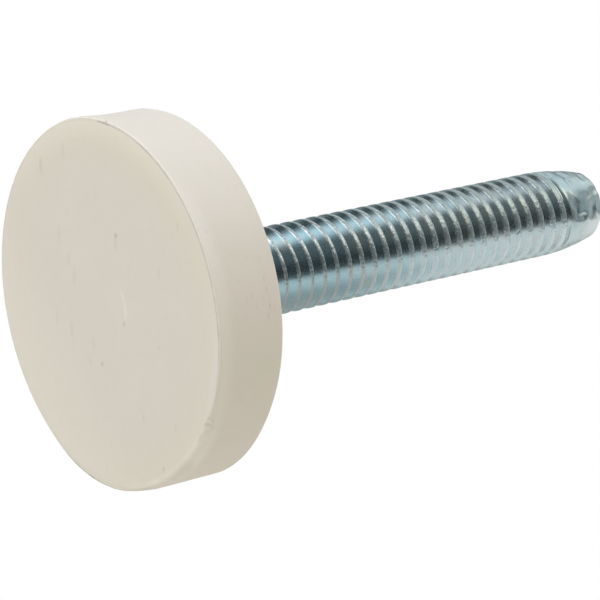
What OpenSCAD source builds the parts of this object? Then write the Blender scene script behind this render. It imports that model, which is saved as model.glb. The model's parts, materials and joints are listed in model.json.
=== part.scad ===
// Leveling foot: a round moulded base with a threaded steel stud set in it.
// It stands on the underside of the base, in the plane z = 0, and the stud's axis is +Z.

/* [Base] */
// Diameter of the underside, at its sharp edge
base_d = 31.75; // [26:0.25:45]
// Height from the underside to the upper face
base_h = 6.6; // [5.5:0.05:12]
// Draft of the side wall, which narrows upwards, in degrees
base_draft = 1.5; // [0.5:0.5:6]
// Radius of the round on the upper edge
base_edge_r = 0.3; // [0.2:0.1:1.5]

/* [Stud] */
// How far the stud stands out above the base
stud_reach = 47.5; // [20:0.5:90]
// Diameter of the thread over its crests
thread_d = 7.8; // [7:0.05:10]
// Distance from one ridge of the thread to the next
thread_pitch = 1.411; // [0.8:0.001:1.6]
// Diameter of the plain shank that is set in the base
shank_d = 7.15; // [5:0.05:9]
// Diameter of the flat end of the rounded tip
tip_d = 6.2; // [4:0.1:6.8]
// Length over which the tip rounds off
tip_len = 6.2; // [2:0.1:12]

/* [Head] */
// Width across the flats of the hexagonal head inside the base
head_af = 12.7; // [10:0.1:16]
// Height of the head
head_h = 3; // [1.5:0.1:3.4]
// Plastic left under the head
head_cover = 1.7; // [1:0.1:2]

/* [Hidden] */
$fn = 96;

// Side wall of the base, as a line that leans in by the draft angle
wall_lean = tan(base_draft);
base_r = base_d / 2;
// Centre of the upper edge's round, which touches both the wall and the upper face
edge_z = base_h - base_edge_r;
edge_x = base_r - wall_lean * edge_z - base_edge_r / cos(base_draft);

// Top of the head, where the shank begins, and the end of the stud
head_top = head_cover + head_h;
stud_top = base_h + stud_reach;

// Thread of 60 degree form, with a flat crest of 1/8 pitch and a flat root of 1/4 pitch
thread_r = thread_d / 2;
crest_flat = thread_pitch / 8;
root_flat = thread_pitch / 4;
flank_run = (thread_pitch - crest_flat - root_flat) / 2;
root_r = thread_r - flank_run / tan(30);
ridge_count = ceil(stud_reach / thread_pitch);

// The tip rounds off on one arc, which leaves the crests without a corner
tip_drop = (thread_d - tip_d) / 2;
tip_arc_r = (tip_len * tip_len + tip_drop * tip_drop) / (2 * tip_drop);
tip_start = stud_top - tip_len;

// Half section of the base: straight drafted wall with a true round on its upper edge
module base_section() {
    polygon([
        [0, 0],
        [base_r, 0],
        [edge_x + base_edge_r * cos(base_draft), edge_z + base_edge_r * sin(base_draft)],
        [edge_x, base_h],
        [0, base_h],
    ]);
    translate([edge_x, edge_z]) circle(r = base_edge_r);
}

// Hexagonal head with the plain shank over it, as the base is moulded around them
module anchor(shank_end) {
    translate([0, 0, head_cover]) cylinder(d = head_af / cos(30), h = head_h, $fn = 6);
    translate([0, 0, head_top]) cylinder(d = shank_d, h = shank_end - head_top);
}

// Corners of one ridge, from the root below it to the root above it
function ridge(i) =
    let (low = base_h + root_flat / 2 + i * thread_pitch)
    [
        [root_r, low],
        [thread_r, low + flank_run],
        [thread_r, low + flank_run + crest_flat],
        [root_r, low + 2 * flank_run + crest_flat],
    ];

// Half section of the thread as a row of ridges, longer than the stud
module ridge_section() {
    ridges = [for (i = [0 : ridge_count - 1]) each ridge(i)];
    row_top = base_h + ridge_count * thread_pitch;
    polygon(concat([[0, base_h], [root_r, base_h]], ridges, [[root_r, row_top], [0, row_top]]));
}

// Half section of the space that the stud's crests and its rounded tip fill
module stud_envelope() {
    translate([0, base_h]) square([thread_r, tip_start - base_h]);
    intersection() {
        translate([thread_r - tip_arc_r, tip_start]) circle(r = tip_arc_r);
        translate([0, tip_start]) square([thread_r, tip_len]);
    }
}

// Moulded base, with the pocket that the head and the shank fill
module base_disc() {
    color("#d8d0c2") difference() {
        rotate_extrude() base_section();
        anchor(base_h);
    }
}

// Plated steel stud: head and shank inside the base, thread and rounded tip above it
module threaded_stud() {
    color("#a9bcc0") union() {
        anchor(base_h);
        rotate_extrude() intersection() {
            ridge_section();
            stud_envelope();
        }
    }
}

base_disc();
threaded_stud();
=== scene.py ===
# %% [markdown]
# # A leveling foot
#
# A leveling foot screws into the end of a table or cabinet leg, and turning it sets the height of that
# corner. This one has two pieces: a round base moulded in cream plastic, and a zinc-plated steel stud whose
# head sits inside the base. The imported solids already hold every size. This lesson dresses them: it builds
# finer meshes in the same frame, gives them finishes made of nodes, and lights them as a small studio would.

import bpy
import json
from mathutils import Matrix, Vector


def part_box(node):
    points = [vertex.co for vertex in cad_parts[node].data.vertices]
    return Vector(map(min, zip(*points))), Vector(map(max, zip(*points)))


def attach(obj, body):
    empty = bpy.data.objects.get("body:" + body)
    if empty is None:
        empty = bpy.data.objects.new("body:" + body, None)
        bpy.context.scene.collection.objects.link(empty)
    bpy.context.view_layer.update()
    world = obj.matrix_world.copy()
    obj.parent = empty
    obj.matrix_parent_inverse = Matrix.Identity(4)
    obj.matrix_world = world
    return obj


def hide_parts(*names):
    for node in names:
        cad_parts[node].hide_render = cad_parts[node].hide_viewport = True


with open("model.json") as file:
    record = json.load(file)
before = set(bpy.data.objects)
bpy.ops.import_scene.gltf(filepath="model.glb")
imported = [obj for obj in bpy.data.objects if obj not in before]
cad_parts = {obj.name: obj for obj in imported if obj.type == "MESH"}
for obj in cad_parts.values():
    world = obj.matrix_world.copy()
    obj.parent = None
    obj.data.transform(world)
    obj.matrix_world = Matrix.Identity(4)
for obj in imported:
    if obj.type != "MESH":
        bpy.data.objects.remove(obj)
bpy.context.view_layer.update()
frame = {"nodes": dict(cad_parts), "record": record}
print("packed solids:", ", ".join(sorted(frame["nodes"])))

# %% [markdown]
# ## Sizes
#
# Blender works in metres, and so does the frame. The boxes of the two solids and the record's mounts give
# most of the sizes, so nothing has to be fitted by eye. The few that a box can't tell, such as the draft of
# the wall, are written here once, in millimetres times `MM`.

# %% Read the sizes
import json
import math
from types import SimpleNamespace

import bmesh
import bpy
from mathutils import Color, Matrix, Vector, noise

MM = 0.001
base_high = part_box("base_disc")[1]
stud_low, stud_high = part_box("threaded_stud")
mounts = {mount["name"]: mount for mount in frame["record"]["mounts"]}

BASE_R = base_high.x
BASE_H = base_high.z
BASE_DRAFT = math.radians(1.5)
BASE_EDGE_R = 0.3 * MM
THREAD_R = mounts["stud"]["dims"]["r_mm"] * MM
THREAD_PITCH = 1.411 * MM
STUD_TOP = stud_high.z
SHANK_R = 3.575 * MM
HEAD_H = 3 * MM
HEAD_LOW = stud_low.z
HEAD_TOP = HEAD_LOW + HEAD_H
HEAD_FLAT_R = stud_high.y
print(f"base {2 * BASE_R / MM:.2f} mm across and {BASE_H / MM:.2f} mm thick, tip at {STUD_TOP / MM:.2f} mm")

# %% [markdown]
# ## Camera
#
# The picture looks up at the underside, with the stud running away to the right. Five facts fix that view:
# the lens, where the middle of the underside appears and how far off it is, and the two angles of the stud's
# axis as the camera sees it. A camera could be nudged by hand until it fits, but those facts give its matrix
# directly. The rows of the turn are the object's X, Y and Z written in camera axes, with Y pointing away from
# the camera.

# %% Place the camera
PICTURE_PX = 600
FOCAL_PX = 3118
FACE_PX = (105.73, 305.96)
FACE_DEPTH = 260.25 * MM
STUD_AWAY = math.radians(53.39)
STUD_CLIMB = math.radians(12.50)
NEAREST_SEEN = 10 * MM


def camera_matrix():
    """World matrix of a camera that sees the underside and the stud's axis as the picture does."""
    half = PICTURE_PX / 2
    face = FACE_DEPTH * Vector(((FACE_PX[0] - half) / FOCAL_PX, (half - FACE_PX[1]) / FOCAL_PX, -1))
    axis = Vector((math.cos(STUD_CLIMB), math.sin(STUD_CLIMB), 0)) * math.sin(STUD_AWAY)
    axis.z = -math.cos(STUD_AWAY)
    away = (face - face.project(axis)).normalized()
    turn = Matrix((away.cross(axis), away, axis))
    return Matrix.Translation(turn @ -face) @ turn.to_4x4()


scene = bpy.context.scene
camera = bpy.data.objects.new("camera", bpy.data.cameras.new("camera"))
scene.collection.objects.link(camera)
camera.data.lens = FOCAL_PX / PICTURE_PX * camera.data.sensor_width
camera.data.clip_start = NEAREST_SEEN
camera.matrix_world = camera_matrix()
scene.camera = camera
print("camera at", [round(part / MM, 1) for part in camera.matrix_world.translation], "mm")

# %% [markdown]
# ## Shader maths as expressions
#
# A finish made of nodes soon turns into a web of wires. One small class keeps it readable: it wraps a socket,
# and `+`, `-`, `*` and `/` on it add a Math node each, also when a plain number comes first. Every other node
# comes from one method, which takes the node's type, its settings and its inputs.


# %% A socket that can be used in expressions
class Wire:
    """An output socket of a material's nodes, or only its node tree while nothing is wired yet."""

    def __init__(self, tree, socket=None):
        self.tree = tree
        self.socket = socket

    @staticmethod
    def pick(sockets, name):
        """The socket with that identifier or, failing that, that name."""
        by_id = [socket for socket in sockets if socket.identifier == name]
        return (by_id or [socket for socket in sockets if socket.name == name])[0]

    def node(self, kind, settings=None, inputs=None, output=None):
        """Adds a node, sets it up, fills or links its inputs and gives the named output, else the first."""
        made = self.tree.nodes.new(kind)
        for name, value in (settings or {}).items():
            setattr(made, name, value)
        for name, value in (inputs or {}).items():
            socket = Wire.pick(made.inputs, name)
            if isinstance(value, Wire):
                self.tree.links.new(value.socket, socket)
            else:
                socket.default_value = value
        if not made.outputs:
            return self
        return Wire(self.tree, Wire.pick(made.outputs, output or made.outputs[0].identifier))

    def work_out(self, operation, first, second):
        """A Math node on two values."""
        return self.node("ShaderNodeMath", {"operation": operation}, {"Value": first, "Value_001": second})

    def __add__(self, other):
        return self.work_out("ADD", self, other)

    def __radd__(self, other):
        return self.work_out("ADD", other, self)

    def __sub__(self, other):
        return self.work_out("SUBTRACT", self, other)

    def __rsub__(self, other):
        return self.work_out("SUBTRACT", other, self)

    def __mul__(self, other):
        return self.work_out("MULTIPLY", self, other)

    def __rmul__(self, other):
        return self.work_out("MULTIPLY", other, self)

    def __truediv__(self, other):
        return self.work_out("DIVIDE", self, other)

    def __rtruediv__(self, other):
        return self.work_out("DIVIDE", other, self)


print("a wire understands + - * /")


# %% Helpers for numbers, vectors and colours
def between(pair, share):
    """From the first number of a pair to its second, by a share that is a wire or a number."""
    return pair[0] + (pair[1] - pair[0]) * share


def absolute(value):
    """A number without its sign."""
    return value.node("ShaderNodeMath", {"operation": "ABSOLUTE"}, {"Value": value})


def ease(value, low, high):
    """0 below low, 1 above high and smooth between them."""
    inputs = {"Value": value, "From Min": low, "From Max": high}
    return value.node("ShaderNodeMapRange", {"interpolation_type": "SMOOTHSTEP"}, inputs, "Result")


def vector_math(operation, first, second=None, output="Vector"):
    """A Vector Math node on one or two vectors, whose output is a vector or, as "Value", a number."""
    inputs = {"Vector": first} if second is None else {"Vector": first, "Vector_001": second}
    return first.node("ShaderNodeVectorMath", {"operation": operation}, inputs, output)


def part_of(vector, axis):
    """A vector's part along X, Y or Z."""
    return vector.node("ShaderNodeSeparateXYZ", None, {"Vector": vector}, axis)


def cloud(coords, size, detail=2.0):
    """Soft noise from 0 to 1 whose blotches are about that size across, in metres."""
    inputs = {"Vector": coords, "Scale": 1 / size, "Detail": detail}
    return coords.node("ShaderNodeTexNoise", None, inputs, "Fac")


def blotches(coords, size, low, high, detail=2.0):
    """Mask of soft blotches: noise of a size that counts from low and is full from high."""
    return ease(cloud(coords, size, detail), low, high)


def colour(red, green, blue):
    """A colour given as screen values from 0 to 255, as the linear values that sockets hold."""
    return (*Color((red / 255, green / 255, blue / 255)).from_srgb_to_scene_linear(), 1.0)


def blend(factor, first, second):
    """Colour between two colours, through a Mix node."""
    settings = {"data_type": "RGBA", "clamp_factor": True}
    inputs = {"Factor_Float": factor, "A_Color": first, "B_Color": second}
    return factor.node("ShaderNodeMix", settings, inputs, "Result_Color")


print("middle grey on the screen is", [round(part, 3) for part in colour(128, 128, 128)], "in a socket")


# %% Helpers for whole finishes
def begin_finish(name):
    """A new material with an empty tree: the material, a first wire and the object's own coordinates."""
    made = bpy.data.materials.new(name)
    made.use_nodes = True
    made.node_tree.nodes.clear()
    wire = Wire(made.node_tree)
    return made, wire, wire.node("ShaderNodeTexCoord", output="Object")


def mix_shaders(factor, first, second):
    """One shader where a factor is 0 and another where it is 1."""
    return factor.node("ShaderNodeMixShader", None, {"Fac": factor, "Shader": first, "Shader_001": second})


def end_finish(wire, shader):
    """Closes a finish with a shader as its surface."""
    wire.node("ShaderNodeOutputMaterial", None, {"Surface": shader})


def bumps(relief, strength, distance):
    """The normal that a relief gives, through a Bump node."""
    inputs = {"Strength": strength, "Distance": distance, "Height": relief}
    return relief.node("ShaderNodeBump", None, inputs, "Normal")


def where(place):
    """A place on the foot: coordinates with and without height, distance from the axis, and height."""
    flat = vector_math("MULTIPLY", place, (1, 1, 0))
    radius = vector_math("LENGTH", flat, output="Value")
    return SimpleNamespace(place=place, flat=flat, radius=radius, height=part_of(place, "Z"))


def facing(at, degrees):
    """Cosine of the angle round the axis between a place and a direction."""
    around = math.radians(degrees)
    way = Vector((math.cos(around), math.sin(around), 0))
    return vector_math("DOT_PRODUCT", at.flat, way, "Value") / at.radius


def stretch(at, middle, fades, full):
    """Mask of a stretch round the axis, by the cosine of the angle from its middle, which is in degrees."""
    return ease(facing(at, middle), fades, full)


print("helpers for finishes are ready")

# %% [markdown]
# ## Cream plastic
#
# The base is an unpolished moulding in cream plastic: matt, faintly mottled and a little yellower near its
# rim. The crease along the rim and a stretch of its edge are darkened by dirt and by painted shade, handling
# left specks, smears and a few scratches, and one arc of the witness mark is a painted highlight. A photo
# texture could carry all this, but noise that is read in the object's own coordinates has no seams and stays
# sharp at any size. A single mark is a distance from a point, so each one sits where it is on the real foot.

# %% Marks on the base
# Marks on the underside: X and Y in mm, size in mm, and how dark they are.
SPECKS = ((-5.5, -3.7, 0.3, 0.34), (4.7, 2.4, 0.27, 0.32), (1.8, -2.1, 0.25, 0.26), (4.3, -6.4, 0.22, 0.16),
          (14.2, -3.4, 0.28, 0.2))
SMEARS = ((-4.9, -3.4, 0.3, 0.12), (-12.8, 5.3, 0.35, 0.15), (-13.5, 1.5, 0.35, 0.08), (0.1, 7.8, 0.3, 0.08),
          (1.3, 5.9, 0.35, 0.09), (2.8, 3.0, 0.25, 0.1), (9.7, -2.1, 0.2, 0.13), (11.0, -6.4, 0.2, 0.09),
          (-5.0, -12.7, 0.22, 0.1), (-1.7, -8.7, 0.25, 0.08), (-6.7, 4.8, 0.35, 0.07), (-4.5, 4.1, 0.3, 0.09),
          (-3.0, 3.8, 0.35, 0.09), (4.3, 4.1, 0.25, 0.06))
# Marks on the side wall: angle in degrees, height in mm, size in mm, and how dark they are.
WALL_MARKS = ((-97, 2.4, 0.2, 0.1), (-89, 2.5, 0.2, 0.12), (-105, 0.8, 0.2, 0.1))
WALL_SCRATCHES = ((-81.5, 5.3, 0.15, 0.36), (-86.4, 5.2, 0.14, 0.2), (-85.3, 3.6, 0.14, 0.14),
                  (-89.4, 5.1, 0.14, 0.16), (-78.7, 5.1, 0.15, 0.26), (-81.8, 4.0, 0.14, 0.14),
                  (-83.9, 3.0, 0.14, 0.12), (-80.2, 5.7, 0.13, 0.24), (-84.0, 4.6, 0.13, 0.14))
SMEAR_LONGER = 3.0
SCRATCH_LONGER = 7.0
WIPED = math.radians(21)
RAGGED_SIZE = 0.5 * MM
RAGGED = (0.6, 1.4)
MARK_CORE = 0.3


def on_underside(marks):
    """Place, size and strength of each mark on the underside."""
    return [(Vector((x, y, 0)) * MM, size * MM, dark) for x, y, size, dark in marks]


def on_wall(marks):
    """The same for marks on the side wall, from their angle and height."""
    placed = []
    for degrees, height, size, dark in marks:
        around = math.radians(degrees)
        place = Vector((BASE_R * math.cos(around), BASE_R * math.sin(around), height * MM))
        placed.append((place, size * MM, dark))
    return placed


def marked(coords, marks, longer=1.0):
    """Mask of soft ragged marks, longer by a factor along the way that the foot was wiped."""
    turn = Matrix.Rotation(-WIPED, 3, "Z")
    squeeze = Vector((1 / longer, 1, 1))
    turned = coords.node("ShaderNodeVectorRotate", {"rotation_type": "Z_AXIS"},
                         {"Vector": coords, "Angle": -WIPED})
    narrow = vector_math("MULTIPLY", turned, squeeze)
    ragged = between(RAGGED, cloud(coords, RAGGED_SIZE))
    mask = 0.0
    for place, size, dark in marks:
        apart = vector_math("DISTANCE", narrow, (turn @ place) * squeeze, "Value")
        mask = mask + dark * (1 - ease(apart * ragged, MARK_CORE * size, size))
    return mask


print(len(SPECKS), "specks and", len(SMEARS), "smears on the underside,", len(WALL_MARKS), "marks and",
      len(WALL_SCRATCHES), "scratches on the wall")

# %% Colour of the moulding
CREAM = colour(213, 205, 192)
CREAM_PINK = colour(216, 205, 195)
CREAM_WARM = colour(213, 206, 184)
CREAM_RIM = colour(226, 219, 203)
CREAM_HALO = colour(224, 214, 208)
# Blotches: size, noise where they begin and are full, detail. Stretches: middle in degrees, cosines where
# they fade out and are full.
MOTTLES = (5 * MM, 0.35, 0.7, 3.0)
MOTTLES_SHARE = 0.6
WARM_RING = (0.68 * BASE_R, 0.92 * BASE_R)
WARM_ENDS = (BASE_R - 0.4 * MM, BASE_R - 0.15 * MM)
WARM_SHARE = 0.18
PATCHES = (9 * MM, 0.3, 0.7)
PATCHES_SHARE = 0.28
YELLOWED = (-140, 0.5, 0.95)
YELLOWED_SHARE = 0.3
PALE_RING = (0.82 * BASE_R, 0.99 * BASE_R)
PALE_SHARE = 0.1
PALE_RIM = (-165, 0.45, 1.0)
PALE_RIM_SHARE = 0.45
PALE_SIDE = 65
PALE_ACROSS = (0.25 * BASE_R, 0.9 * BASE_R)
PALE_SIDE_SHARE = 0.35
HALO_RING = (BASE_R - 0.6 * MM, 0.6 * MM)
HALO = (-60, 0.93, 0.98)
HALO_SHARE = 0.3
BAND_CORE = 0.4


def round_band(at, middle, half):
    """Mask of a narrow ring round the axis."""
    return 1 - ease(absolute(at.radius - middle), BAND_CORE * half, half)


def moulded_cream(at, underside):
    """Mottled cream, yellower near the rim of the underside, and paler along parts of it and on one side."""
    tint = blend(MOTTLES_SHARE * blotches(at.place, *MOTTLES), CREAM, CREAM_PINK)
    warm = ease(at.radius, *WARM_RING) * (1 - ease(at.radius, *WARM_ENDS))
    uneven = PATCHES_SHARE * blotches(at.flat, *PATCHES) + YELLOWED_SHARE * stretch(at, *YELLOWED)
    tint = blend(warm * (WARM_SHARE + uneven) * underside, tint, CREAM_WARM)
    pale_rim = ease(at.radius, *PALE_RING) * (PALE_SHARE + PALE_RIM_SHARE * stretch(at, *PALE_RIM))
    pale_side = PALE_SIDE_SHARE * ease(facing(at, PALE_SIDE) * at.radius, *PALE_ACROSS)
    tint = blend((pale_rim + pale_side) * underside, tint, CREAM_RIM)
    halo = round_band(at, *HALO_RING) * stretch(at, *HALO)
    return blend(HALO_SHARE * halo * underside, tint, CREAM_HALO)


print("cream in a socket:", [round(part, 3) for part in CREAM])

# %% Wear, dirt and painted light of the base
# Pale colour of scuffs, which also paints the highlight on the witness mark.
SCUFF_AND_HIGHLIGHT = colour(231, 225, 215)
DIRT = colour(140, 130, 116)
# Grey of dirt and of painted shade, in the crease and along the edge.
DIRT_AND_SHADE_GREY = colour(146, 135, 132)
WORN_RING = (BASE_R - 1.1 * MM, BASE_R - 0.5 * MM)
WORN = (-18, 0.86, 0.97)
WORN_PATCHES = (2.4 * MM, 0.38, 0.62)
WORN_SHARES = (0.09, 0.45)
LOW_WALL = (0.4 * MM, 1.9 * MM)
PALE_WALL = (-70, 0.5, 0.9)
PALE_WALL_SHARE = 0.36
RIM_CREASE = 0.2 * MM
CREASE_W = 0.13 * MM
CREASE_SHARE = 0.06
FLECKS = (1.4 * MM, 0.4, 0.62)
CREASE_DARK_SIDE = (-112, 0.5, 0.85)
CREASE_DARK_SHARES = (0.16, 0.34)
CREASE_SPOT = (-160, 0.9975, 0.9995)
CREASE_SPOT_SHARE = 0.32
EDGE_RING = (BASE_R - 0.02 * MM, BASE_R + 0.12 * MM)
EDGE_LOW = (0.15 * MM, 0.3 * MM)
EDGE_DARK_SIDE = (48, 0.78, 0.92)
EDGE_DARK_SHARES = (0.3, 0.8)
LINES_SQUEEZE = (1, 1, 7)
LINES = (1.6 * MM, 0.64, 0.76)
LINES_UP = (2 * MM, 4 * MM)
LINES_SHARE = 0.06
GRIME = (0.8 * MM, 0.5, 0.8, 3.0)
GRIME_SHARE = 0.035
WITNESS_R = 2.85 * MM
WITNESS_W = 0.27 * MM
WITNESS = (-85, 0.85, 0.98)
WITNESS_HIGHLIGHT_SHARE = 0.3


def scuffed(tint, at, underside):
    """Paler where the rim is worn and low on the side wall."""
    low = 1 - ease(at.height, *LOW_WALL)
    worn = ease(at.radius, *WORN_RING) * stretch(at, *WORN) * low
    tint = blend(worn * between(WORN_SHARES, blotches(at.place, *WORN_PATCHES)), tint, SCUFF_AND_HIGHLIGHT)
    pale_wall = low * (1 - underside) * stretch(at, *PALE_WALL)
    return blend(PALE_WALL_SHARE * pale_wall, tint, SCUFF_AND_HIGHLIGHT)


def rim_dirt_and_shade(tint, at, underside):
    """Painted shade and dirt in the crease along the rim, in flecks on one side, and along a stretch of the
    edge itself.
    """
    flecks = blotches(at.flat, *FLECKS)
    dirt_and_shade = CREASE_SHARE + between(CREASE_DARK_SHARES, flecks) * stretch(at, *CREASE_DARK_SIDE)
    dirt_and_shade = dirt_and_shade + CREASE_SPOT_SHARE * stretch(at, *CREASE_SPOT)
    # Painted shade and dirt: the crease along the rim is painted darker, more on one side.
    crease = round_band(at, BASE_R - RIM_CREASE, CREASE_W)
    tint = blend(crease * underside * dirt_and_shade, tint, DIRT_AND_SHADE_GREY)
    # Painted shade and dirt along a stretch of the rim's outer edge.
    edge = ease(at.radius, *EDGE_RING) * (1 - ease(at.height, *EDGE_LOW)) * stretch(at, *EDGE_DARK_SIDE)
    return blend(edge * between(EDGE_DARK_SHARES, flecks), tint, DIRT_AND_SHADE_GREY)


def handled(tint, at, underside):
    """Specks, smears, scratches and a trace of grime, and a painted highlight on one arc of the witness mark.
    """
    lines = vector_math("MULTIPLY", at.place, LINES_SQUEEZE)
    dirt = LINES_SHARE * blotches(lines, *LINES) * ease(at.height, *LINES_UP)
    dirt = dirt + GRIME_SHARE * blotches(at.place, *GRIME)
    dirt = dirt + marked(at.place, on_underside(SPECKS) + on_wall(WALL_MARKS))
    dirt = dirt + marked(at.place, on_underside(SMEARS), SMEAR_LONGER)
    dirt = dirt + marked(at.place, on_wall(WALL_SCRATCHES), SCRATCH_LONGER)
    tint = blend(dirt, tint, DIRT)
    # Painted highlight: one arc of the witness mark is painted pale on the side that catches the light.
    witness = round_band(at, WITNESS_R, WITNESS_W) * stretch(at, *WITNESS) * underside
    return blend(WITNESS_HIGHLIGHT_SHARE * witness, tint, SCUFF_AND_HIGHLIGHT)


print(f"crease {RIM_CREASE / MM:.2f} mm inside the rim, witness mark {2 * WITNESS_R / MM:.1f} mm across")

# %% Finish of the base
UNDERSIDE = (0.04 * MM, 0.2 * MM)
PLASTIC_GRAIN = 0.25 * MM
PLASTIC_BUMP = (0.15, 0.02 * MM)
PLASTIC_ROUGH = (0.55, 0.65)
PLASTIC_SPECULAR = 0.35


def cream_plastic():
    """Matt cream plastic with its wear, its dirt and a fine grain."""
    made, wire, place = begin_finish("cream_plastic")
    at = where(place)
    underside = 1 - ease(at.height, *UNDERSIDE)
    tint = moulded_cream(at, underside)
    tint = scuffed(tint, at, underside)
    tint = rim_dirt_and_shade(tint, at, underside)
    tint = handled(tint, at, underside)
    grain = cloud(place, PLASTIC_GRAIN)
    inputs = {"Base Color": tint, "Roughness": between(PLASTIC_ROUGH, grain),
              "Normal": bumps(grain, *PLASTIC_BUMP), "Specular IOR Level": PLASTIC_SPECULAR}
    end_finish(wire, wire.node("ShaderNodeBsdfPrincipled", None, inputs))
    return made


cream = cream_plastic()
print("finish:", cream.name, "with", len(cream.node_tree.nodes), "nodes")

# %% [markdown]
# ## Zinc plating
#
# The stud is steel with a thin coat of bright zinc, which a passivating bath tints faintly blue, with hints
# of straw; near the base it is painted bluer still, a painted reflection. It is a metal, so its colour is the
# colour of its reflections. Screwing it in and out has rubbed the crests, and their colour also holds painted
# light: a painted highlight with small painted glints on the lit side near the base, painted reflections from
# grey to pale on the other side, and painted shade that dims them further out. The end of the tip is rubbed
# pale too. The plating is smooth with a fine grain, which a little roughness and a low bump give. A crest is
# told from a groove by its distance from the axis, so the wear and the painted light follow the thread.

# %% Colour of the plating
ZINC = colour(183, 200, 202)
ZINC_BLUE = colour(156, 186, 192)
ZINC_STRAW = colour(188, 190, 182)
ZINC_RUBBED = colour(235, 235, 230)
NEAR_BASE = (22 * MM, 42 * MM)
STRAW_PATCHES = (7 * MM, 0.5, 0.75)
STRAW_SHARE = 0.4
SHEEN_SIZE = 1.6 * MM
SHEEN_STRAW = (0.55, 0.75)
SHEEN_BLUE = (0.3, 0.45)
SHEEN_SHARE = 0.5
TIP_STRAW = (48 * MM, 51 * MM)
TIP_STRAW_SHARE = 0.2
TIP_RUBBED = (51.2 * MM, 52.8 * MM)
TIP_RUBBED_SHARE = 0.3


def plated(at, near_base):
    """Zinc, painted bluer near the base as a painted reflection, with patches of straw and blue and a rubbed
    tip.
    """
    # Painted reflection: the plating is painted bluer near the base.
    tint = blend(near_base, ZINC, ZINC_BLUE)
    tint = blend(STRAW_SHARE * blotches(at.place, *STRAW_PATCHES), tint, ZINC_STRAW)
    sheen = cloud(at.place, SHEEN_SIZE, 1.0)
    tint = blend(SHEEN_SHARE * ease(sheen, *SHEEN_STRAW), tint, ZINC_STRAW)
    tint = blend(SHEEN_SHARE * (1 - ease(sheen, *SHEEN_BLUE)), tint, ZINC_BLUE)
    tint = blend(TIP_STRAW_SHARE * ease(at.height, *TIP_STRAW), tint, ZINC_STRAW)
    return blend(TIP_RUBBED_SHARE * ease(at.height, *TIP_RUBBED), tint, ZINC_RUBBED)


print("zinc in a socket:", [round(part, 3) for part in ZINC])

# %% Rubbed crests with painted highlight, glints and shade, and the finish of the stud
# Colours of the crests: rubbed zinc with a painted highlight, glints, shade and reflections.
ZINC_RUBBED_HIGHLIGHT = colour(194, 200, 199)
ZINC_GLINT = colour(235, 240, 240)
ZINC_SHADED_GREY = colour(177, 179, 176)
ZINC_REFLECTED_PALE = colour(208, 221, 222)
ZINC_DIMMED = colour(182, 178, 165)
CREST_TOP = (THREAD_R - 0.05 * MM, THREAD_R - 0.005 * MM)
REFLECTION_PALES = (20 * MM, 34 * MM)
LIT_SIDE = (-145, 0.1, 0.7)
LOWER_REFLECTION_SHARE = 0.77
DIMMED_SHARE = 0.35
GLINTS = (0.28 * MM, 0.56, 0.66, 1.0)
GLINTS_SHARE = 0.9
ZINC_GRAIN = 0.15 * MM
ZINC_WAVES = 0.6 * MM
CREST_GRAIN = 0.25 * MM
ZINC_GRAIN_HIGH = 0.35
CREST_GRAIN_HIGH = 6
ZINC_BUMP = (0.45, 0.02 * MM)
ZINC_ROUGH = (0.2, 0.32)
CREST_ROUGHER = 0.1


def crest_wear_and_painted_light(tint, at, crest, near_base):
    """Crests partly rubbed, with a painted highlight and glints on the lit side near the base, painted
    reflections from grey to pale on the other side and painted shade that dims them further out.
    """
    upper = stretch(at, *LIT_SIDE)
    # Painted highlight: crests on the lit side near the base are painted brighter, partly as rubbed zinc.
    rubbed_and_lit = crest * near_base * upper
    # Painted reflections: crests on the other side are painted grey near the base and pale further up.
    lower = blend(ease(at.height, *REFLECTION_PALES), ZINC_SHADED_GREY, ZINC_REFLECTED_PALE)
    tint = blend(LOWER_REFLECTION_SHARE * crest * (1 - upper), tint, lower)
    tint = blend(rubbed_and_lit, tint, ZINC_RUBBED_HIGHLIGHT)
    # Painted shade: further out, crests on the lit side are painted duller, which dims their highlight.
    tint = blend(DIMMED_SHARE * crest * (1 - near_base) * upper, tint, ZINC_DIMMED)
    # Painted glints: small bright spots on those crests.
    return blend(GLINTS_SHARE * blotches(at.place, *GLINTS) * rubbed_and_lit, tint, ZINC_GLINT)


def zinc_plating():
    """Bright zinc with rubbed crests that carry painted light, a fine grain and low waves."""
    made, wire, place = begin_finish("zinc_plating")
    at = where(place)
    near_base = 1 - ease(at.height, *NEAR_BASE)
    crest = ease(at.radius, *CREST_TOP)
    tint = crest_wear_and_painted_light(plated(at, near_base), at, crest, near_base)
    grain = cloud(place, ZINC_GRAIN)
    relief = cloud(place, ZINC_WAVES, 1.0) + ZINC_GRAIN_HIGH * grain
    relief = relief + CREST_GRAIN_HIGH * crest * cloud(place, CREST_GRAIN, 1.0)
    inputs = {"Base Color": tint, "Metallic": 1.0, "Normal": bumps(relief, *ZINC_BUMP),
              "Roughness": between(ZINC_ROUGH, grain) + CREST_ROUGHER * crest}
    end_finish(wire, wire.node("ShaderNodeBsdfPrincipled", None, inputs))
    return made


zinc = zinc_plating()
print("finish:", zinc.name, "with", len(zinc.node_tree.nodes), "nodes")

# %% [markdown]
# ## From rings to a closed mesh
#
# Both pieces are round, so both can be built from rings of points. A Screw modifier on an outline would turn
# one too, but it can't put a hexagon and a circle into the same skin. Here each ring may have its own radius
# at each angle, and the first and the last ring are closed by a fan.

# %% Ring tools
FULL_TURN = math.radians(360)
QUARTER_TURN = math.radians(90)
HEX_TURN = math.radians(60)


def smooth(value, low, high):
    """0 below low, 1 above high and smooth between them, for numbers."""
    share = min(1, max(0, (value - low) / (high - low)))
    return share * share * (3 - 2 * share)


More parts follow.
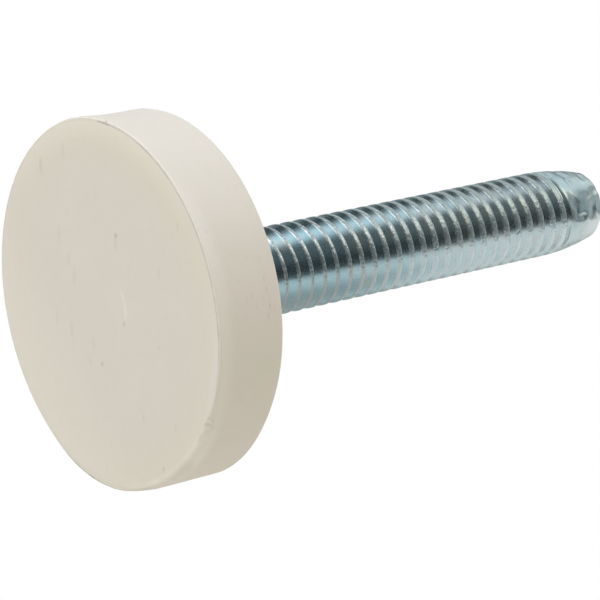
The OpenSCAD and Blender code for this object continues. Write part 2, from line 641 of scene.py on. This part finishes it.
def ring(count, radius, height):
    """Points of one ring: radius and height are numbers, or functions of the angle."""
    points = []
    for step in range(count):
        angle = FULL_TURN * step / count
        r = radius(angle) if callable(radius) else radius
        z = height(angle) if callable(height) else height
        points.append(Vector((r * math.cos(angle), r * math.sin(angle), z)))
    return points


def hexagon(angle):
    """Radius of the hexagonal head at an angle, with a corner on +X."""
    return HEAD_FLAT_R / math.cos(angle % HEX_TURN - HEX_TURN / 2)


print(f"head {2 * HEAD_FLAT_R / MM:.2f} mm across its flats, {2 * hexagon(0) / MM:.2f} mm across its corners")

# %% Mesh tools
WELD = 0.0005 * MM


def add_rings(mesh, rings):
    """Quads from ring to ring; returns the rings' vertices."""
    loops = [[mesh.verts.new(point) for point in points] for points in rings]
    for low, high in zip(loops, loops[1:]):
        for step in range(len(low)):
            after = (step + 1) % len(low)
            mesh.faces.new((low[step], low[after], high[after], high[step]))
    return loops


def add_fan(mesh, loop):
    """Closes a ring of vertices with triangles to its middle."""
    middle = mesh.verts.new(sum((vert.co for vert in loop), Vector()) / len(loop))
    for step in range(len(loop)):
        mesh.faces.new((loop[step], loop[(step + 1) % len(loop)], middle))


def finish_piece(name, mesh, finish, node, crease):
    """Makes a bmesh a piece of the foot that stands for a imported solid, and says what it measures."""
    bmesh.ops.remove_doubles(mesh, verts=mesh.verts, dist=WELD)
    bmesh.ops.recalc_face_normals(mesh, faces=mesh.faces)
    open_edges = sum(not edge.is_manifold for edge in mesh.edges)
    data = bpy.data.meshes.new(name)
    mesh.to_mesh(data)
    mesh.free()
    data.shade_smooth()
    data.set_sharp_from_angle(angle=crease)
    data.materials.append(finish)
    piece = bpy.data.objects.new(name, data)
    scene.collection.objects.link(piece)
    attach(piece, "root")
    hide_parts(node)
    data.calc_loop_triangles()
    print(f"{name}: {len(data.loop_triangles)} triangles, {open_edges} open edges")


print(f"points closer than {WELD / MM} mm are welded")

# %% [markdown]
# ## The base
#
# The base was moulded face down: its underside is flat, with a faint round witness mark in the middle, its
# wall leans in by a small draft so that it left the mould, and its upper edge is barely rounded. The rim of
# the underside is sharp with a fine crease along it where the mould's halves met, but on one side it is worn
# round, and here and there it has a nick. Like most mouldings it also came out a little out of round: it
# swells, sinks or leans by up to a quarter of a millimetre on some sides. All this could be sculpted, but it
# is easier to write the rim's and the wall's radius as functions of the angle. The head of the stud fills a
# hexagonal pocket inside.

# %% The rim and its wear
RIM_R = 0.14 * MM
RIM_WORN = 0.5 * MM
RIM_UNEVEN = 0.3
RIM_WAVES = 3
WORN_AT = (math.radians(-25), math.radians(45))
# Nicks of the rim: angle and half width in degrees, depth in mm.
NICKS = ((-44, 1.2, 0.16), (-46.5, 0.8, 0.1), (-38, 2.5, 0.08), (-159, 1.2, 0.12), (-120, 0.8, 0.04),
         (-75, 0.7, 0.05), (20, 1.5, 0.08), (95, 1.0, 0.06), (140, 1.3, 0.08))


def bell(angle, middle, half):
    """1 at an angle, falling smoothly to 0 at a half width to each side of it."""
    apart = abs((angle - middle + math.pi) % FULL_TURN - math.pi)
    return 0.5 + 0.5 * math.cos(math.pi * apart / half) if apart < half else 0.0


def bells(angle, table):
    """Sum in metres of bells from a table of angles and half widths in degrees and heights in mm."""
    return sum(high * bell(angle, math.radians(at), math.radians(half)) for at, half, high in table) * MM


def rim_round(angle):
    """Radius of the rim's edge: sharp, but worn round on one side."""
    around = Vector((math.cos(angle), math.sin(angle), 0))
    return (RIM_R + RIM_WORN * bell(angle, *WORN_AT)) * (1 + RIM_UNEVEN * noise.noise(RIM_WAVES * around))


rounds = [rim_round(math.radians(degree)) / MM for degree in range(360)]
print(f"rim radius from {min(rounds):.2f} mm to {max(rounds):.2f} mm, {len(NICKS)} nicks")

# %% The wall and its unevenness
# Swells of the wall: angle and half width in degrees, height in mm.
SWELLS = ((32, 34, 0.26), (3, 14, -0.08), (-44, 22, -0.07), (-176, 12, 0.05))
# The sunken side: height up the wall in mm, and how far the wall stands out there in mm.
SUNK = ((0.4, 0.02), (2.5, -0.1), (4.8, -0.06), (6.4, 0.0))
SUNK_AT = (math.radians(-178), math.radians(35))
LEAN = 0.13 * MM
LEAN_AT = (math.radians(-5), math.radians(34))


def sunk(z):
    """How far the sunken side stands out at a height, smooth from one entry of its table to the next."""
    offset = SUNK[0][1]
    for (low, before), (high, after) in zip(SUNK, SUNK[1:]):
        offset += (after - before) * smooth(z, low * MM, high * MM)
    return offset * MM


def sway(angle, z):
    """How far the wall departs from a true cone: it swells, sinks and leans here and there."""
    lean = LEAN * bell(angle, *LEAN_AT) * z / BASE_H
    return bells(angle, SWELLS) + sunk(z) * bell(angle, *SUNK_AT) + lean


def wall_radius(z, angle=None):
    """Radius of the drafted wall at a height, with its unevenness if an angle is given."""
    return BASE_R - math.tan(BASE_DRAFT) * z + (0 if angle is None else sway(angle, z))


sways = [sway(math.radians(degree), BASE_H / 2) / MM for degree in range(360)]
print(f"wall out of round by {min(sways):.2f} mm to {max(sways):.2f} mm at half its height")

# %% Rings of the underside and the rim
BASE_STEPS = 480
MIDDLE_STEPS = 12
MIDDLE_STEP = 0.2 * MM
WITNESS_STEPS = (-0.2, -0.1, 0, 0.1, 0.2)
WITNESS_DEEP = 0.005 * MM
FACE_STEPS = 12
RIM_ROOM = 1.5
RIM_STEPS = 6
CREASE_DEEP = 0.008 * MM


def underside_rings():
    """Rings from near the middle of the underside out to the crease along its rim."""
    radii = [MIDDLE_STEP * (step + 1) for step in range(MIDDLE_STEPS)]
    radii += [WITNESS_R + step * MM for step in WITNESS_STEPS]
    last = BASE_R - RIM_ROOM * (RIM_R + RIM_WORN) - CREASE_W
    radii += [between((WITNESS_R, last), (step + 1) / FACE_STEPS) for step in range(FACE_STEPS)]
    return [ring(BASE_STEPS, radius, WITNESS_DEEP if radius < WITNESS_R else 0) for radius in radii]


def crease_depth(angle):
    """Depth of the crease, which is gone where the rim is worn."""
    return CREASE_DEEP * max(0, 1 - 2 * bell(angle, *WORN_AT))


def face_ring(inset, height):
    """One ring of the underside, inset from where the rim's round begins."""
    def radius(angle):
        return wall_radius(0, angle) - rim_round(angle) - inset

    return ring(BASE_STEPS, radius, height)


def rim_ring(turn):
    """One ring of the rim's round, a turn from the underside towards the wall; nicks bite into the round."""
    bite = math.sin(2 * turn)

    def height(angle):
        return rim_round(angle) * (1 - math.cos(turn)) + bite * bells(angle, NICKS)

    def radius(angle):
        wall = wall_radius(rim_round(angle) * (1 - math.cos(turn)), angle)
        return wall - rim_round(angle) * (1 - math.sin(turn)) - bite * bells(angle, NICKS)

    return ring(BASE_STEPS, radius, height)


face_rings = underside_rings() + [face_ring(CREASE_W, 0), face_ring(CREASE_W / 2, crease_depth)]
rim_rings = [rim_ring(QUARTER_TURN * step / RIM_STEPS) for step in range(RIM_STEPS + 1)]
print(len(face_rings), "rings on the underside and", len(rim_rings), "round the rim")

# %% Build the base
WALL_STEPS = 12
WALL_WAVE = 0.015 * MM
WALL_WAVE_SIZE = 3 * MM
EDGE_STEPS = 6
UPPER_EDGE_Z = BASE_H - BASE_EDGE_R
UPPER_STEPS = 8
BASE_SHARP = math.radians(35)


def wall_ring(share):
    """One ring of the drafted wall, which is very slightly wavy as mouldings are."""
    def height(angle):
        return between((rim_round(angle), UPPER_EDGE_Z), share)

    def radius(angle):
        return wall_radius(height(angle), angle)

    points = ring(BASE_STEPS, radius, height)
    outward = [point.xy.normalized().to_3d() for point in points]
    waves = [WALL_WAVE * noise.noise(point / WALL_WAVE_SIZE) for point in points]
    return [point + wave * way for point, wave, way in zip(points, waves, outward)]


def edge_ring(turn):
    """One ring of the small round of the upper edge."""
    middle = wall_radius(UPPER_EDGE_Z) - BASE_EDGE_R / math.cos(BASE_DRAFT)

    def radius(angle):
        return middle + BASE_EDGE_R * math.cos(turn) + sway(angle, UPPER_EDGE_Z)

    return ring(BASE_STEPS, radius, UPPER_EDGE_Z + BASE_EDGE_R * math.sin(turn))


def pocket_rings():
    """Upper face in to the shank, then down round the head to the pocket's floor."""
    across = (wall_radius(BASE_H) - BASE_EDGE_R, SHANK_R)
    radii = [between(across, (step + 1) / UPPER_STEPS) for step in range(UPPER_STEPS)]
    rings = [ring(BASE_STEPS, radius, BASE_H) for radius in radii]
    rings += [ring(BASE_STEPS, SHANK_R, HEAD_TOP), ring(BASE_STEPS, hexagon, HEAD_TOP)]
    return rings + [ring(BASE_STEPS, hexagon, HEAD_LOW)]


wall_rings = [wall_ring(step / WALL_STEPS) for step in range(1, WALL_STEPS)]
edge_turns = [between((BASE_DRAFT, QUARTER_TURN), step / EDGE_STEPS) for step in range(EDGE_STEPS + 1)]
base_rings = face_rings + rim_rings + wall_rings + [edge_ring(turn) for turn in edge_turns] + pocket_rings()
base_mesh = bmesh.new()
base_loops = add_rings(base_mesh, base_rings)
add_fan(base_mesh, base_loops[0])
add_fan(base_mesh, base_loops[-1])
finish_piece("base_moulding", base_mesh, cream, "base_disc", BASE_SHARP)

# %% [markdown]
# ## The stud
#
# A rolled thread is one groove that winds up the stud, one pitch each turn. Stacked rings would look right
# only from afar, and a Boolean cut along a helix is slow and fragile. So the skin is a long strip of quads
# that winds as the thread does: each row of the strip keeps its place in the thread's profile, and after a
# full turn it meets the row that lies one pitch higher. Points that would fall into the base or past the tip
# are pulled to those planes, and welding removes what then has no area. The thread itself changes on its way
# up: near the base it is deeper and its crests are narrow, further out it is worn to wider, rounder crests,
# and before the tip the groove runs out, a little earlier on one side than on the other.

# %% The thread's form
THREAD_DEEP = (0.28 * MM, 0.2 * MM)
CREST_SHARE = (0.085, 0.3)
CREST_ROUNDED = (0.14, 0.45)
CREST_WIDENS = (14 * MM, 40 * MM)
TIP_FLANK = 0.14


def crest_share(z):
    """Share of the pitch that the flattened crest takes at a height."""
    return between(CREST_SHARE, smooth(z, *CREST_WIDENS))


def thread_profile(phase, z):
    """Radius at a share of one pitch from the middle of a crest towards the tip, at a height."""
    half = crest_share(z) / 2
    rounded = between(CREST_ROUNDED, smooth(z, *CREST_WIDENS))
    deep = between(THREAD_DEEP, smooth(z, *CREST_WIDENS))
    phase %= 1
    if phase < half or phase > 1 - half:
        return THREAD_R
    if phase < half + TIP_FLANK:
        return THREAD_R - deep * smooth(phase, half, half + TIP_FLANK)
    rise = (phase - half - TIP_FLANK) / (1 - 2 * half - TIP_FLANK)
    steep = 1 / (1 - rounded / 2)
    if rise > 1 - rounded:
        rise = 1 - steep * (1 - rise)**2 / (2 * rounded)
    else:
        rise *= steep
    return THREAD_R - deep * (1 - rise)


print(f"thread {THREAD_DEEP[0] / MM:.2f} mm deep near the base and {THREAD_DEEP[1] / MM:.2f} mm near the tip")

# %% The surface of the stud
TIP_R = 3.1 * MM
TIP_LEN = 6.2 * MM
TIP_DROP = THREAD_R - TIP_R
TIP_ARC = (TIP_LEN**2 + TIP_DROP**2) / (2 * TIP_DROP)
HELIX_START = 0.044
RUNOUT = (48.9 * MM, 50.6 * MM)
RUNOUT_EARLY = 1.1 * MM
RUNOUT_EARLY_AT = (math.radians(-152), math.radians(60))
DENT = 0.15 * MM
DENT_SIZE = 0.9 * MM
DENT_SHIFT = Vector((3.3, 0.0, 0.0))


def tip_limit(z):
    """Largest radius at a height: full along the stud, less on the arc of the tip."""
    past = max(0, z - (STUD_TOP - TIP_LEN))
    return THREAD_R - TIP_ARC + math.sqrt(TIP_ARC**2 - past**2)


def stud_point(angle, z):
    """Point on the threaded surface; the groove runs out before the tip, which is dented."""
    phase = (z - BASE_H) / THREAD_PITCH - angle / FULL_TURN - HELIX_START
    runout = smooth(z + RUNOUT_EARLY * bell(angle, *RUNOUT_EARLY_AT), *RUNOUT)
    limit = tip_limit(z)
    radius = min(limit, between((thread_profile(phase, z), limit), runout))
    place = Vector((radius * math.cos(angle), radius * math.sin(angle), z))
    dent = max(0, noise.noise(place / DENT_SIZE + DENT_SHIFT)) * DENT * runout
    return Vector((place.x * (1 - dent / radius), place.y * (1 - dent / radius), z))


print(f"tip rounded by {TIP_ARC / MM:.1f} mm to {2 * tip_limit(STUD_TOP) / MM:.2f} mm across at its end")

# %% Wind the thread
STUD_STEPS = 144
FLANK_STEPS = 4
RISE_SHARES = (0, 0.15, 0.3, 0.45, 0.6, 0.7, 0.78, 0.86, 0.93, 1)
PROFILE_STEPS = 1 + FLANK_STEPS + len(RISE_SHARES)
FIRST_TURN = -2
TIP_ROUND = 0.25 * MM
WOUND_TOP = STUD_TOP - TIP_ROUND


def profile_phases(z):
    """Places of the strip's rows in one pitch: the crest, its steep side and the rise to the next crest."""
    half = crest_share(z) / 2
    foot = half + TIP_FLANK
    phases = [0.0] + [half + TIP_FLANK * step / FLANK_STEPS for step in range(FLANK_STEPS)]
    return phases + [between((foot, 1 - half), share) for share in RISE_SHARES]


def strip_point(turn, row, step):
    """Point of the strip at a turn of the thread, a row of its profile and a step round the stud."""
    share = step / STUD_STEPS
    crest_z = BASE_H + THREAD_PITCH * (turn + share + HELIX_START)
    z = crest_z + THREAD_PITCH * profile_phases(crest_z)[row]
    return stud_point(FULL_TURN * share, min(max(z, BASE_H), WOUND_TOP))


def winding_rows():
    """The strip's rows of points, from below the base's upper face to above the tip."""
    turns = range(FIRST_TURN, math.ceil((WOUND_TOP - BASE_H) / THREAD_PITCH) + 1)
    places = [(turn, row) for turn in turns for row in range(PROFILE_STEPS)]
    return [[strip_point(turn, row, step) for step in range(STUD_STEPS)] for turn, row in places]


def add_winding(mesh, rows):
    """Quads along the strip, with each row's end joined to the row one pitch higher."""
    verts = [[mesh.verts.new(point) for point in row] for row in rows]
    for low in range(len(verts) - 1):
        for step in range(STUD_STEPS):
            ahead = low if step + 1 < STUD_STEPS else low + PROFILE_STEPS
            if ahead + 1 < len(verts):
                after = (step + 1) % STUD_STEPS
                mesh.faces.new((verts[low][step], verts[ahead][after], verts[ahead + 1][after],
                                verts[low + 1][step]))


stud_mesh = bmesh.new()
add_winding(stud_mesh, winding_rows())
print(f"thread wound: {len(stud_mesh.faces)} quads before welding")

# %% Add the head, the shank and the end of the tip
TIP_STEPS = 4
STUD_SHARP = math.radians(50)


def at_height(z):
    """Ring of points where the thread meets a plane."""
    return [stud_point(FULL_TURN * step / STUD_STEPS, z) for step in range(STUD_STEPS)]


def anchor_rings():
    """Head and shank, up to the plane where the thread begins."""
    rings = [ring(STUD_STEPS, hexagon, HEAD_LOW), ring(STUD_STEPS, hexagon, HEAD_TOP)]
    rings += [ring(STUD_STEPS, SHANK_R, HEAD_TOP), ring(STUD_STEPS, SHANK_R, BASE_H)]
    return rings + [at_height(BASE_H)]


def tip_rings():
    """Small round from the thread's end to the flat of the tip."""
    last = at_height(WOUND_TOP)
    rings = [last]
    for step in range(TIP_STEPS):
        turn = QUARTER_TURN * (step + 1) / TIP_STEPS
        pull = TIP_ROUND * (1 - math.cos(turn))
        drawn_in = [point * (1 - pull / point.xy.length) for point in last]
        for point in drawn_in:
            point.z = WOUND_TOP + TIP_ROUND * math.sin(turn)
        rings.append(drawn_in)
    return rings


anchor_loops = add_rings(stud_mesh, anchor_rings())
add_fan(stud_mesh, anchor_loops[0])
tip_loops = add_rings(stud_mesh, tip_rings())
add_fan(stud_mesh, tip_loops[-1])
finish_piece("zinc_stud", stud_mesh, zinc, "threaded_stud", STUD_SHARP)

# %% [markdown]
# ## Floor
#
# The foot stands on a plain pale floor. The camera of the picture is below that floor, as the underside
# shows, so the floor is drawn on its upper side only, and it stops no light. Further out it turns to the
# plain white of the background, so no edge or horizon shows.

# %% Lay the floor
FLOOR_GAP = 0.02 * MM
FLOOR_HALF = 3.0
FLOOR_FADE = (0.15, 0.6)
PALE = (0.9, 0.9, 0.9, 1.0)
WHITE = (1.0, 1.0, 1.0, 1.0)
CORNERS = ((-1, -1), (1, -1), (1, 1), (-1, 1))


def floor_finish():
    """Matt and pale near the foot, white further out, and clear from below."""
    made, wire, place = begin_finish("pale_floor")
    far = vector_math("LENGTH", place, output="Value")
    matt = wire.node("ShaderNodeBsdfDiffuse", None, {"Color": PALE})
    white = wire.node("ShaderNodeEmission", None, {"Color": WHITE, "Strength": 1.0})
    upper = mix_shaders(ease(far, *FLOOR_FADE), matt, white)
    from_below = wire.node("ShaderNodeNewGeometry", output="Backfacing")
    end_finish(wire, mix_shaders(from_below, upper, wire.node("ShaderNodeBsdfTransparent")))
    return made


def flat_square(name, half, height, finish):
    """A flat square of a half width, facing up at a height."""
    data = bpy.data.meshes.new(name)
    data.from_pydata([(half * x, half * y, height) for x, y in CORNERS], [], [range(len(CORNERS))])
    data.materials.append(finish)
    return bpy.data.objects.new(name, data)


def set_on_stage(piece, hidden_from):
    """Adds an object to the scene, unseen by the kinds of ray that are named."""
    scene.collection.objects.link(piece)
    for kind in hidden_from:
        setattr(piece, f"visible_{kind}", False)


floor = flat_square("floor", FLOOR_HALF, -FLOOR_GAP, floor_finish())
set_on_stage(floor, ("diffuse", "glossy", "transmission", "shadow"))
print(f"floor laid {FLOOR_GAP / MM:.2f} mm under the foot")

# %% [markdown]
# ## Light on the plastic
#
# The world is an even white that also serves as the background, a little lower and warmer for the rays that
# light matt surfaces. Three soft lamps add shape. The key stands over the foot as the picture has it, where
# up is the foot's -X and the near side is -Y, the bounce is the paper below, and the top lamp is for views of
# the foot on its floor. Bright metal hardly shows lamps of this kind, so reflections don't see them.

# %% World and lamps
AMBIENT = (0.732, 0.734, 0.676, 1.0)
MIDDLE = Vector((0, 0, 0.4 * STUD_TOP))
LAMP_FAR = 0.6
LAMP_SIZE = 0.5
# Name, way from the foot, power in watts and colour of each lamp.
LAMPS = (("key", (-0.866, -0.232, -0.442), 2.85, (0.734, 0.806, 1.0)),
         ("bounce", (0.8, 0.6, 0), 0.62, (1.0, 0.97, 0.93)),
         ("top", (0, 0, 1), 1.45, (0.93, 0.93, 1.0)))


def white_world():
    """Plain white for the camera and for reflections, AMBIENT for the light that falls on matt surfaces."""
    world = bpy.data.worlds.new("studio")
    scene.world = world
    world.use_nodes = True
    world.node_tree.nodes.clear()
    wire = Wire(world.node_tree)
    path = "ShaderNodeLightPath"
    seen = wire.node(path, output="Is Camera Ray")
    seen = seen + wire.node(path, output="Is Glossy Ray")
    seen = seen + wire.node(path, output="Is Transmission Ray")
    dim = wire.node("ShaderNodeBackground", None, {"Color": AMBIENT, "Strength": 1.0})
    white = wire.node("ShaderNodeBackground", None, {"Color": WHITE, "Strength": 1.0})
    wire.node("ShaderNodeOutputWorld", None, {"Surface": mix_shaders(seen, dim, white)})


def soft_lamp(name, way, power, tint):
    """A square lamp that faces the foot from a direction."""
    data = bpy.data.lights.new(name, "AREA")
    data.size = LAMP_SIZE
    data.energy = power
    data.color = tint
    lamp = bpy.data.objects.new(name, data)
    scene.collection.objects.link(lamp)
    lamp.location = MIDDLE + LAMP_FAR * way
    lamp.rotation_euler = (-way).to_track_quat("-Z", "Y").to_euler()
    lamp.visible_camera = False
    lamp.visible_glossy = False


white_world()
for lamp_name, lamp_way, lamp_power, lamp_tint in LAMPS:
    soft_lamp(lamp_name, Vector(lamp_way).normalized(), lamp_power, lamp_tint)
scene.view_settings.view_transform = "Standard"

# %% [markdown]
# ## What the metal reflects
#
# A bright metal is mostly a picture of its surroundings. In an all-white room the thread would vanish, so the
# side of the room that the picture has on top is closed by a dark canopy, as over a photographer's table, and
# past its edge stays the white of the world. The canopy is paler high on the tip's side, beyond the tip and
# behind the foot, and turns white again low on the base's side. Inside it hang a softbox and a fill card for
# the bright bands along the stud, and three darker cards take the pure white off what the stud's other sides
# reflect. One of these, low beside the base, is a painted shadow: it stands for the foot's shadow on the
# paper below, as the stud would reflect it. Only reflections see these pieces: the camera and the matt
# plastic don't.

# %% Glow of the canopy
CANOPY_TINT = (0.88, 1.0, 1.05, 1.0)
LOW_TINT = (1.0, 0.99, 0.96, 1.0)
BLACK = (0.0, 0.0, 0.0, 1.0)
CANOPY_DARK = (0.035, 0.14)
CANOPY_SIDE = 0.95
CANOPY_REAR = 0.12
CANOPY_TIP = 0.45
CANOPY_LOW = 1.05
SIDE_GAIN = 0.25
SIDE_CUT = 0.95
CORNER_CUT = 0.5
CANOPY_MOST = CANOPY_DARK[1] + (1 + SIDE_GAIN) * CANOPY_SIDE + CANOPY_REAR + CANOPY_TIP + CANOPY_LOW
# Where each glow grows or ends, as parts of the way to it: along the stud, below it as the picture has it,
# and behind it.
SIDE_ALONG = (0.38, 0.62)
SIDE_GAINS = (0.74, 0.84)
SIDE_ENDS = (-0.7, -0.15)
TIP_ALONG = (0.72, 0.86)
TIP_BELOW = (-0.4, 0)
TIP_ENDS = (0.2, 0.45)
HAZE_BELOW = (-0.9, -0.5)
HAZE_ENDS = (-0.35, 0.2)
REAR_BEHIND = (0.35, 0.75)
CORNER_ALONG = (0.6, 0.8)
CORNER_BEHIND = (0.05, 0.35)
LOW_ENDS = (-0.55, -0.3)


def canopy_finish():
    """Dark with a faint haze, the paler parts and the white at the base's side."""
    made, wire, place = begin_finish("canopy")
    way = vector_math("NORMALIZE", place)
    below = part_of(way, "X")
    behind = part_of(way, "Y")
    along = part_of(way, "Z")
    haze = ease(below, *HAZE_BELOW) * (1 - ease(below, *HAZE_ENDS))
    side = ease(along, *SIDE_ALONG) * (1 - SIDE_CUT * ease(below, *SIDE_ENDS))
    side = side * (1 + SIDE_GAIN * ease(along, *SIDE_GAINS))
    beyond = ease(along, *TIP_ALONG) * ease(below, *TIP_BELOW) * (1 - ease(below, *TIP_ENDS))
    corner = CORNER_CUT * ease(along, *CORNER_ALONG) * ease(behind, *CORNER_BEHIND)
    shine = (CANOPY_SIDE * side + CANOPY_REAR * ease(behind, *REAR_BEHIND)) * (1 - corner)
    shine = shine + between(CANOPY_DARK, haze) + CANOPY_TIP * beyond
    tint = blend(shine / CANOPY_MOST, BLACK, CANOPY_TINT)
    low = tuple(part * CANOPY_LOW / CANOPY_MOST for part in LOW_TINT)
    tint = blend(1 - ease(along, *LOW_ENDS), tint, low)
    end_finish(wire, wire.node("ShaderNodeEmission", None, {"Color": tint, "Strength": CANOPY_MOST}))
    return made


canopy_cloth = canopy_finish()
print("finish:", canopy_cloth.name, "with", len(canopy_cloth.node_tree.nodes), "nodes")

# %% Hang the canopy
CANOPY_R = 1.2
CANOPY_STEPS = 64
CANOPY_UP = Vector((-0.95, -0.3, 0.03)).normalized()
CANOPY_EDGE = -0.265
BUT_REFLECTIONS = ("camera", "diffuse", "transmission", "shadow")


def ball_part(name, finish):
    """Part of a ball round the foot, cut off below a tilted plane."""
    mesh = bmesh.new()
    bmesh.ops.create_uvsphere(mesh, u_segments=CANOPY_STEPS, v_segments=CANOPY_STEPS // 2, radius=CANOPY_R)
    bmesh.ops.bisect_plane(mesh, geom=mesh.verts[:] + mesh.edges[:] + mesh.faces[:],
                           plane_co=CANOPY_UP * CANOPY_EDGE * CANOPY_R, plane_no=CANOPY_UP, clear_inner=True)
    data = bpy.data.meshes.new(name)
    mesh.to_mesh(data)
    mesh.free()
    data.materials.append(finish)
    return bpy.data.objects.new(name, data)


canopy = ball_part("canopy", canopy_cloth)
canopy.location = MIDDLE
set_on_stage(canopy, BUT_REFLECTIONS)
print("canopy of radius", CANOPY_R, "m")

# %% Softbox and cards
# Name, way from the foot, distance, width along the stud and height in metres, colour, strength, and the
# shares of the width and height over which each card fades to its edges.
CARDS = (
    ("softbox", (-0.955, -0.296, -0.1), 0.2, (0.24, 0.25), (0.98, 1.0, 1.06, 1.0), 2.45, (0.45, 0.5)),
    ("fill_card", (-0.53, -0.62, 0.6), 0.8, (0.58, 0.58), (1.0, 0.98, 0.9, 1.0), 2.05, (0.4, 0.4)),
    ("warm_card", (0.98, 0.145, -0.1), 0.034, (0.05, 0.08), (1.02, 1.0, 0.99, 1.0), 0.56, (0.22, 0.35)),
    # Painted shadow: this card stands for the foot's shadow on the paper below, as the stud reflects it.
    ("reflected_shadow_card", (0.79, -0.11, 0.6), 0.11, (0.034, 0.14), (1.0, 0.99, 0.97, 1.0), 0.37, (0.3, 0.3)),
    ("rear_card", (0.45, 0.7, 0.55), 0.8, (0.9, 0.7), (0.95, 1.0, 1.0, 1.0), 0.5, (0.4, 0.4)))
CARD_HALF = 0.5
STUD_AXIS = Vector((0, 0, 1))


def card_finish(name, tint, strength, soft):
    """A glow that fades out over a share of the card towards each edge."""
    made, wire, place = begin_finish(name)
    mask = 1.0
    for axis, share in zip("XY", soft):
        mask = mask * (1 - ease(absolute(part_of(place, axis)), CARD_HALF - share, CARD_HALF))
    glow = wire.node("ShaderNodeEmission", None, {"Color": tint, "Strength": strength})
    end_finish(wire, mix_shaders(mask, wire.node("ShaderNodeBsdfTransparent"), glow))
    return made


def facing_foot(way, far, size):
    """World matrix of a card that faces the foot from a direction, its width along the stud."""
    side = (STUD_AXIS - STUD_AXIS.project(way)).normalized()
    turn = Matrix((side, way.cross(side), way)).transposed().to_4x4()
    return Matrix.Translation(MIDDLE + far * way) @ turn @ Matrix.Diagonal((*size, 1, 1))


for card_name, card_way, card_far, card_size, card_tint, card_strength, card_soft in CARDS:
    cloth = card_finish(f"{card_name}_cloth", card_tint, card_strength, card_soft)
    card = flat_square(card_name, CARD_HALF, 0, cloth)
    card.matrix_world = facing_foot(Vector(card_way).normalized(), card_far, card_size)
    set_on_stage(card, BUT_REFLECTIONS)
print("cards:", [item[0] for item in CARDS])
